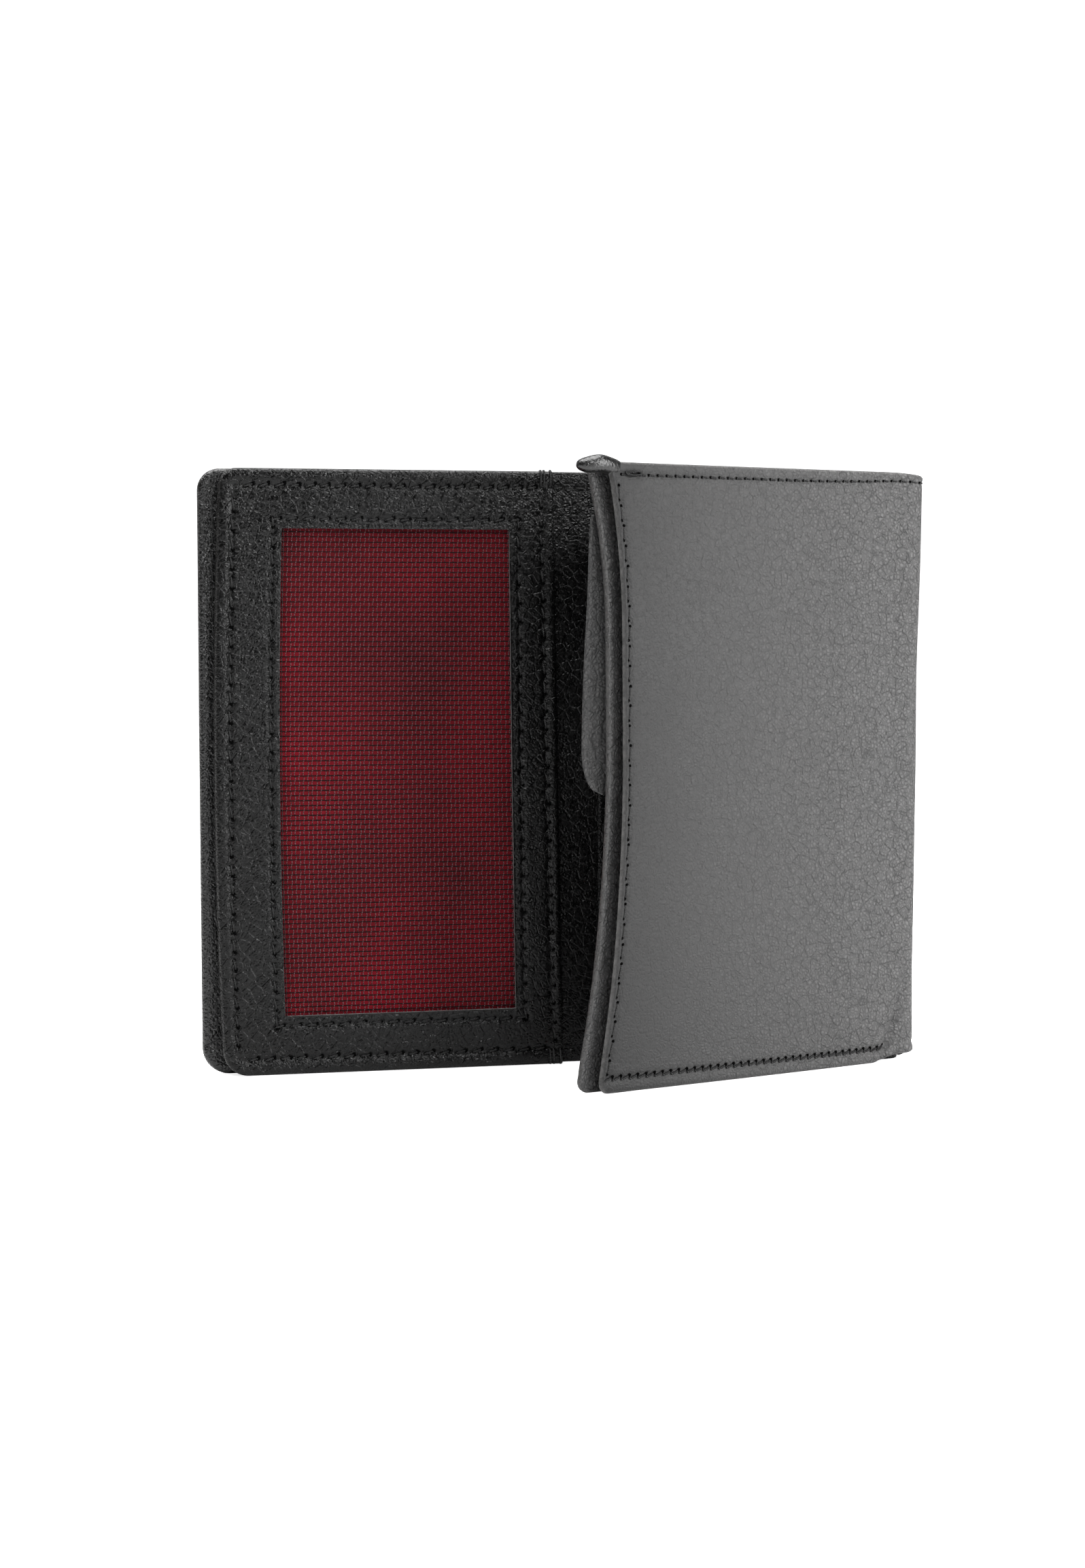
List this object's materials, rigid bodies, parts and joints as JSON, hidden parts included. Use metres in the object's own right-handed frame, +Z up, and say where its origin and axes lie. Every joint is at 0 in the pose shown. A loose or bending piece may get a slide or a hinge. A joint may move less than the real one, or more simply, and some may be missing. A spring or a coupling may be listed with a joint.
{
  "type": "trifold wallet",
  "caption": "Black leather trifold wallet standing open, with a burgundy mesh ID window on the left panel, card slots in the centre and a flap folded forward from the right.",
  "frame": {"origin": "middle of the centre panel's bottom edge, half way through the shell leather", "axes": "+X along the centre panel towards the flap's fold, +Y out of the back of the open wallet, +Z up"},
  "size_m": [0.1322, 0.0359, 0.11],
  "materials": {
    "shell_leather": "fine pebble grain, satin",
    "inner_leather": "fine grain, matt",
    "burgundy_lining": "woven, low sheen",
    "mesh": "open plain weave of nylon monofilament",
    "board": "matt",
    "thread": "twisted sewing thread"
  },
  "bodies": {
    "centre": {"shell_centre": "shell_leather", "stiffener_centre": "board", "lining_centre": "burgundy_lining", "inner_lining_centre": "burgundy_lining", "inner_base_centre": "inner_leather", "card_slot_back": "inner_leather", "card_slot_middle": "inner_leather", "card_slot_front": "inner_leather", "card_slot_thread": "thread", "shell_centre_thread": "thread", "inner_fold_left": "inner_leather", "fold_seam_thread": "thread"},
    "left_spine": {"spine_left_shell": "shell_leather", "spine_left_lining": "burgundy_lining"},
    "left_outer": {"shell_left": "shell_leather", "stiffener_left": "board", "lining_left": "burgundy_lining", "shell_left_thread": "thread"},
    "left_inner": {"inner_lining_left": "burgundy_lining", "inner_base_left": "inner_leather", "id_backing": "burgundy_lining", "id_mesh": "mesh", "id_frame": "inner_leather", "id_perimeter_thread": "thread", "id_window_thread": "thread", "id_mouth_thread": "thread", "bar_tacks": "thread"},
    "right_spine": {"spine_right_shell": "shell_leather", "spine_right_lining": "burgundy_lining"},
    "right_inner_spine": {"inner_spine_right": "inner_leather", "inner_spine_right_lining": "burgundy_lining"},
    "flap_outer": {"shell_right": "shell_leather", "stiffener_right": "board", "lining_right": "burgundy_lining", "flap_edge_thread": "thread", "flap_top_thread": "thread", "flap_bottom_thread": "thread"},
    "flap_inner": {"inner_lining_right": "burgundy_lining", "inner_base_right": "inner_leather", "slip_pocket": "inner_leather", "slip_pocket_thread": "thread"}
  },
  "joints": [
    {"name": "left_fold", "type": "hinge", "parent": "centre", "child": "left_spine", "pos_m": [-0.0303, -0.0003, 0], "axis": [0, 0, 1], "range_deg": [0, 25]},
    {"name": "left_outer_bend_b", "type": "hinge", "parent": "left_spine", "child": "left_outer", "pos_m": [-0.039, -0.0003, 0], "axis": [0, 0, 1], "range_deg": [0, 25]},
    {"name": "left_inner_fold", "type": "hinge", "parent": "centre", "child": "left_inner", "pos_m": [-0.0325, -0.00465, 0], "axis": [0, 0, 1], "range_deg": [0, 50], "deforming": ["inner_fold_left", "fold_seam_thread"]},
    {"name": "flap_fold", "type": "hinge", "parent": "centre", "child": "right_spine", "pos_m": [0.0303, -0.0003, 0], "axis": [0, 0, 1], "range_deg": [-7, 80.5]},
    {"name": "flap_outer_bend_b", "type": "hinge", "parent": "right_spine", "child": "flap_outer", "pos_m": [0.03243, -0.013, 0], "axis": [0, 0, 1], "range_deg": [-7, 80.5]},
    {"name": "flap_inner_bend_a", "type": "hinge", "parent": "centre", "child": "right_inner_spine", "pos_m": [0.0287, -0.002, 0], "axis": [0, 0, 1], "range_deg": [-7, 80.5]},
    {"name": "flap_inner_bend_b", "type": "hinge", "parent": "right_inner_spine", "child": "flap_inner", "pos_m": [0.03026, -0.01134, 0], "axis": [0, 0, 1], "range_deg": [-7, 80.5]}
  ],
  "couplings": [
    {"joint": "left_outer_bend_b", "follows": "left_fold", "ratio": 1},
    {"joint": "left_inner_fold", "follows": "left_fold", "ratio": 2},
    {"joint": "flap_outer_bend_b", "follows": "flap_fold", "ratio": 1},
    {"joint": "flap_inner_bend_a", "follows": "flap_fold", "ratio": 1},
    {"joint": "flap_inner_bend_b", "follows": "flap_fold", "ratio": 1}
  ]
}
